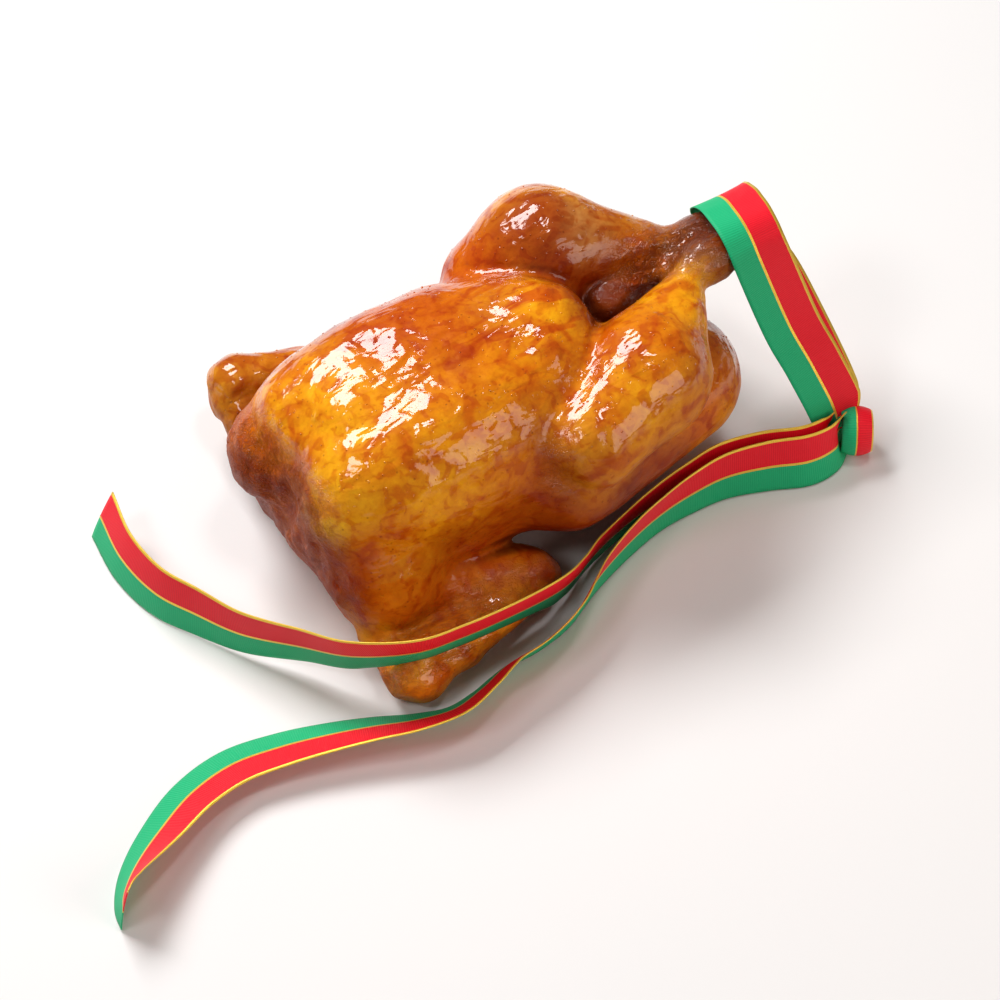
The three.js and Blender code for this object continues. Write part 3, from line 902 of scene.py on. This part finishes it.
def bead_tree():
    """Small beads of set glaze scattered over the upper skin."""
    sizes = {name: "NodeSocketFloat" for name in ("Density", "Apart", "Radius")}
    tree = node_tree("beads", {**sizes, "Seed": "NodeSocketInt", "Material": "NodeSocketMaterial"})
    given = add_node(tree, "NodeGroupInput").outputs
    where = add_node(tree, "GeometryNodeInputNamedAttribute", {"data_type": "FLOAT"}, {"Name": "beaded"})
    spread = add_node(
        tree, "GeometryNodeDistributePointsOnFaces", {"distribute_method": "POISSON"},
        {"Mesh": given["Geometry"], "Distance Min": given["Apart"], "Density Max": given["Density"],
         "Density Factor": where.outputs[0], "Seed": given["Seed"]},
    )
    ball = add_node(tree, "GeometryNodeMeshIcoSphere", inputs={"Radius": 1.0, "Subdivisions": 1})
    share = add_node(
        tree, "FunctionNodeRandomValue", {"data_type": "FLOAT"},
        {2: SMALLEST_BEAD, 3: LARGEST_BEAD, "Seed": given["Seed"]},
    )
    width = add_node(
        tree, "ShaderNodeMath", {"operation": "MULTIPLY"}, {0: share.outputs[1], 1: given["Radius"]}
    ).outputs[0]
    height = add_node(tree, "ShaderNodeMath", {"operation": "MULTIPLY"}, {0: width, 1: BEAD_FLATNESS})
    size = add_node(tree, "ShaderNodeCombineXYZ", inputs={"X": width, "Y": width, "Z": height.outputs[0]})
    placed_and_painted(
        tree, spread.outputs["Points"], ball.outputs[0], spread.outputs["Rotation"], size.outputs[0],
        given["Material"],
    )
    return tree


# ---------------------------------------------------------------- making the bird

points, faces, out, closeness = bird_shape()
bird = mesh_object("roast_bird", points, faces)
x, y, z = points.T
tones = skin_tones(points, closeness)
store(bird, "tone", "FLOAT_COLOR", np.column_stack([tones, np.ones(len(tones))]))
store(bird, "crease", "FLOAT", crease_shade_of(points, closeness))
breast_rear = near(points, (34, -2, 92), (46, 40, 36))
drum_streaks = near(points, (70, -42, 84), (34, 26, 26)) + near(points, (66, 40, 92), (34, 26, 26))
store(bird, "streaky", "FLOAT", np.clip(1.2 * breast_rear + 0.15 * drum_streaks, 0, 1))
wrinkled = near(points, (114, 1, 87), (24, 24, 18)) + near(points, (92, 11, 76), (20, 18, 18))
wrinkled += 0.25 * near_wing(points) + 0.5 * smooth_step(-62, -76, x)
wrinkled += 0.3 * near(points, (20, -48, 64), (15, 12, 22))
store(bird, "wrinkled", "FLOAT", np.clip(wrinkled, 0, 1))
glaze = smooth_step(*GLAZE_FACING, out[:, 2])
glaze *= np.maximum(smooth_step(*GLAZE_HEIGHTS, z), near_wing(points))
glaze *= 1 - 0.8 * smooth_step(-56, -72, x) * smooth_step(86, 70, z)
glaze *= 1 - 0.5 * smooth_step(0.3, 0.9, closeness) * (1 - near_wing(points))
glaze = LEAST_GLAZE + (1 - LEAST_GLAZE) * glaze
glaze = np.clip(glaze + near(points, TAIL["end"], 20), 0, 1)
store(bird, "glaze", "FLOAT", glaze)
store(bird, "beaded", "FLOAT", smooth_step(0.1, 0.6, out[:, 2]) * (1 - smooth_step(0.3, 0.6, closeness)))
skin = glazed_skin()
bird.data.materials.append(skin)

# ---------------------------------------------------------------- making the ribbon


def ribbon_stretches():
    """Each stretch of ribbon: its stations, their directions across, its narrowing, its cupping, and
    whether gold stitches show on it."""
    centres, across = loop_stations()
    travelled = lengths_along(centres)
    from_knot = np.minimum(travelled, travelled[-1] - travelled)
    narrow = LOOP_NARROW + (1 - LOOP_NARROW) * smooth_step(1, 13, from_knot)
    yield centres, across, narrow, LOOP_CUP + LOOP_PINCH * smooth_step(18, 3, from_knot), True
    for route, cup in ((WING_TAIL_ROUTE, -TAIL_CUP), (FRONT_TAIL_ROUTE, TAIL_CUP)):
        centres, across = tail_stations(route)
        travelled = lengths_along(centres)
        narrow = TAIL_NARROW + (1 - TAIL_NARROW) * smooth_step(1, 8, travelled)
        yield centres, across, narrow, cup + TAIL_PINCH * smooth_step(9, 1, travelled), True
    centres, across = knot_stations()
    even = np.ones(len(centres))
    yield centres, across, KNOT_NARROW * even, KNOT_CUP * even, False


ribbon_points, ribbon_faces, ribbon_weave = [], [], []
guide_points, guide_lines, guide_across = [], [], []
total_length = 0.0
for centres, across, narrow, cup, stitched in ribbon_stretches():
    made, band_faces, weave = band(centres, across, narrow, cup)
    start = sum(len(part) for part in ribbon_points)
    ribbon_points.append(made)
    ribbon_faces.extend(tuple(start + n for n in face) for face in band_faces)
    ribbon_weave.append(weave + np.array([0, total_length]))
    total_length += lengths_along(centres)[-1]
    if not stitched:
        continue
    face = np.cross(directions(centres), across)
    for share in STITCH_LINES:
        sideways = across * (share * narrow * RIBBON_WIDTH / 2)[:, None]
        line = centres + sideways + face * (cup * (1 - share**2))[:, None]
        first = sum(len(part) for part in guide_points)
        guide_points.append(line)
        guide_across.append(across)
        guide_lines.extend((first + n, first + n + 1) for n in range(len(line) - 1))

ribbon = mesh_object("ribbon_band", np.vstack(ribbon_points), ribbon_faces)
weave_places = np.vstack(ribbon_weave)
weave_map = ribbon.data.uv_layers.new(name="weave")
corner_points = np.empty(len(ribbon.data.loops), int)
ribbon.data.loops.foreach_get("vertex_index", corner_points)
weave_map.data.foreach_set("uv", (weave_places[corner_points] * (1, MM)).astype(np.float32).ravel())
ribbon.data.materials.append(woven_ribbon())

# ---------------------------------------------------------------- gold stitches and glaze beads

guide = bpy.data.meshes.new("stitch_lines")
guide.from_pydata((np.vstack(guide_points) * MM).tolist(), guide_lines, [])
guide_object = bpy.data.objects.new("stitch_lines", guide)
bpy.context.scene.collection.objects.link(guide_object)
store(guide_object, "across", "FLOAT_VECTOR", np.vstack(guide_across))
thread = gold_thread()
stitches = grown(
    guide_object, "gold_stitches", stitch_tree(),
    {"Spacing": 0.85 * MM, "Length": 0.58 * MM, "Radius": 0.28 * MM, "Slant": 1.1, "Material": thread},
)
bpy.data.objects.remove(guide_object)

beads = grown(
    bird, "glaze_beads", bead_tree(),
    {"Density": 26000.0, "Apart": 2.6 * MM, "Radius": 0.42 * MM, "Seed": 7, "Material": skin},
)

# ---------------------------------------------------------------- floor, lights and camera

FLOOR_HALF = 6000


def look_at(thing, place, target):
    thing.location = place
    thing.rotation_mode = "QUATERNION"
    thing.rotation_quaternion = (Vector(target) - Vector(place)).to_track_quat("-Z", "Y")


def soft_light(name, direction, distance, size, brightness, colour=(1, 1, 1)):
    """A flat rectangular light facing the bird. A lit white floor's brightness is about 1."""
    data = bpy.data.lights.new(name, "AREA")
    data.shape = "RECTANGLE"
    data.size, data.size_y = size
    data.energy = brightness * math.pi * size[0] * size[1]
    data.color = colour
    light = bpy.data.objects.new(name, data)
    bpy.context.scene.collection.objects.link(light)
    target = Vector((0.0, 0.0, 0.05))
    look_at(light, target + Vector(direction).normalized() * distance, target)


corners = [(x * FLOOR_HALF, y * FLOOR_HALF, 0) for x, y in ((-1, -1), (1, -1), (1, 1), (-1, 1))]
floor = mesh_object("floor", corners, [(0, 1, 2, 3)])
floor.data.materials.append(plain_floor())

world = bpy.data.worlds.new("studio")
bpy.context.scene.world = world
world.use_nodes = True
backdrop = world.node_tree.nodes["Background"].inputs
backdrop["Color"].default_value = (1.0, 0.985, 0.97, 1)
backdrop["Strength"].default_value = 0.09

# Direction from the bird, distance, width and height, brightness and, for the panel, its warm colour.
soft_light("back_window", (-0.12, 0.60, 0.79), 1.5, (0.92, 0.58), 14.8)
soft_light("front_panel", (0.42, -0.84, 0.46), 1.3, (0.72, 0.84), 2.7, (1.0, 0.84, 0.76))
soft_light("left_window", (-0.58, -0.06, 0.81), 1.5, (0.38, 0.28), 9.5)
soft_light("top_window", (0.12, -0.12, 0.985), 1.5, (0.27, 0.20), 17.0)

TURN, TILT, DISTANCE = math.radians(32), math.radians(52), 1.4
AIM_RIGHT, AIM_UP = 0.0208, 0.0036
forward = Vector((math.sin(TURN) * math.cos(TILT), math.cos(TURN) * math.cos(TILT), -math.sin(TILT)))
right = Vector((math.cos(TURN), -math.sin(TURN), 0))
up = right.cross(forward)
target = right * AIM_RIGHT + up * AIM_UP
camera_data = bpy.data.cameras.new("camera")
camera_data.lens = 126
camera_data.clip_start = 0.05
camera = bpy.data.objects.new("camera", camera_data)
bpy.context.scene.collection.objects.link(camera)
facing = Matrix((right, up, -forward)).transposed().to_4x4()
camera.matrix_world = Matrix.Translation(target - forward * DISTANCE) @ facing
bpy.context.scene.camera = camera
bpy.context.scene.view_settings.view_transform = "Standard"

# ---------------------------------------------------------------- what stands for what

slots = {bird: "glazed_skin", beads: "glazed_skin", ribbon: "woven_ribbon", stitches: "woven_ribbon"}
for piece, slot in slots.items():
    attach(piece, "root")
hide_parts("chicken")
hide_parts("ribbon")

bpy.context.view_layer.update()
